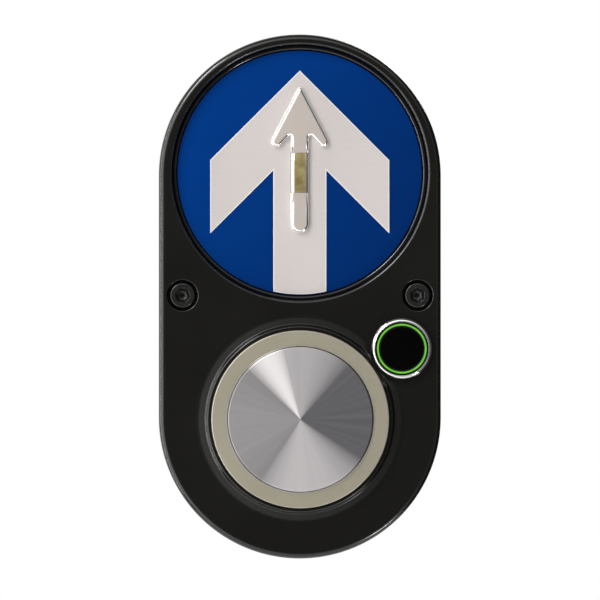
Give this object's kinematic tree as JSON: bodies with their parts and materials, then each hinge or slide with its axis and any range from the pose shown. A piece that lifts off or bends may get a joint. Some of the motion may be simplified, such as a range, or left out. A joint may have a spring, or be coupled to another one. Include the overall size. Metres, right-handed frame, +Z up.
{
  "type": "pedestrian push button",
  "caption": "Black pedestrian push button with a turning blue arrow disc, vibrating touch bar, large steel button and a touchless sensor ringed in green.",
  "frame": {"origin": "middle of the flat mounting face, on the wall or pole plane", "axes": "+Z up, +X to the right of a person who faces the button, the front looks along -Y"},
  "size_m": [0.13, 0.0584, 0.2416],
  "materials": {
    "case_black": "gloss",
    "tray_grey": "cast",
    "rubber_black": "matte",
    "trim_black": "gloss",
    "screw_black": "black oxide",
    "disc_blue": "satin",
    "legend_silver": "fine satin",
    "bar_bronze": "satin",
    "cap_steel": "turned",
    "ring_champagne": "satin anodised",
    "chrome": "polished",
    "ring_green": "lit",
    "lens_black": "polished",
    "steel": "plain",
    "spring_steel": "bright drawn",
    "zinc": "zinc plated",
    "nickel_brass": "nickel plated",
    "magnet_black": "matte",
    "copper_wire": "enamelled",
    "plastic_black": "moulded",
    "plastic_white": "moulded",
    "plastic_red": "moulded",
    "board_green": "solder mask",
    "chip_black": "moulded",
    "terminal_green": "moulded"
  },
  "bodies": {
    "housing": {"front_housing": "case_black", "back_box": "tray_grey", "housing_gasket": "rubber_black", "cable_grommet": "rubber_black", "button_seal": "rubber_black", "cap_wiper": "rubber_black", "sensor_seal": "rubber_black", "disc_trim_ring": "trim_black", "cover_screws": "screw_black", "cover_washers": "screw_black", "button_ring": "ring_champagne", "sensor_bezel": "chrome", "sensor_light_ring": "ring_green", "sensor_lens": "lens_black", "wave_washer": "steel", "switch_bracket": "steel", "switch_pins": "steel", "bracket_screws": "steel", "board_screws": "steel", "return_spring": "spring_steel", "sensor_barrel": "nickel_brass", "sensor_nut": "nickel_brass", "switch_terminals": "nickel_brass", "button_barrel": "plastic_black", "button_nut": "plastic_black", "switch_body": "plastic_black", "bearing_washer": "plastic_white", "control_board": "board_green", "sensor_card": "board_green", "board_chips": "chip_black", "terminal_block": "terminal_green"},
    "direction_disc": {"disc_plate": "disc_blue", "arrow_legend": "legend_silver", "tactile_arrow": "legend_silver", "disc_hub": "plastic_black", "hub_clamp": "zinc", "bar_guide": "plastic_white", "bar_seal": "rubber_black", "hub_screws": "steel", "vibrator_frame": "plastic_black", "vibrator_yoke": "zinc", "vibrator_magnet": "magnet_black", "vibrator_pole_ring": "zinc", "spring_disc": "steel"},
    "touch_bar": {"vibrating_bar": "bar_bronze", "coil_former": "plastic_black", "voice_coil": "copper_wire"},
    "push_button": {"button_cap": "cap_steel", "button_stem": "steel", "stem_clip": "steel"},
    "lever": {"switch_lever": "steel"},
    "plunger": {"switch_plunger": "plastic_red"}
  },
  "joints": [
    {"name": "button_press", "type": "slide", "parent": "housing", "child": "push_button", "axis": [0, 1, 0], "range_m": [0, 0.003], "stiffness_N_per_m": 2000, "springref_m": -0.003, "deforming": ["return_spring"]},
    {"name": "lever_pivot", "type": "hinge", "parent": "housing", "child": "lever", "pos_m": [-0.013, -0.021, -0.0564], "axis": [0, 0, 1], "range_deg": [0, 12]},
    {"name": "plunger_slide", "type": "slide", "parent": "housing", "child": "plunger", "axis": [0, 1, 0], "range_m": [0, 0.0017]},
    {"name": "disc_turn", "type": "hinge", "parent": "housing", "child": "direction_disc", "pos_m": [0, -0.048, 0.057], "axis": [0, -1, 0], "range_deg": [-180, 180]},
    {"name": "bar_vibrate", "type": "slide", "parent": "direction_disc", "child": "touch_bar", "axis": [0, 1, 0], "range_m": [-0.0005, 0.0005], "stiffness_N_per_m": 4000, "deforming": ["spring_disc"]}
  ],
  "couplings": [
    {"joint": "lever_pivot", "follows": "button_press", "rad_per_m": 65.2},
    {"joint": "plunger_slide", "follows": "button_press", "ratio": 0.53}
  ]
}
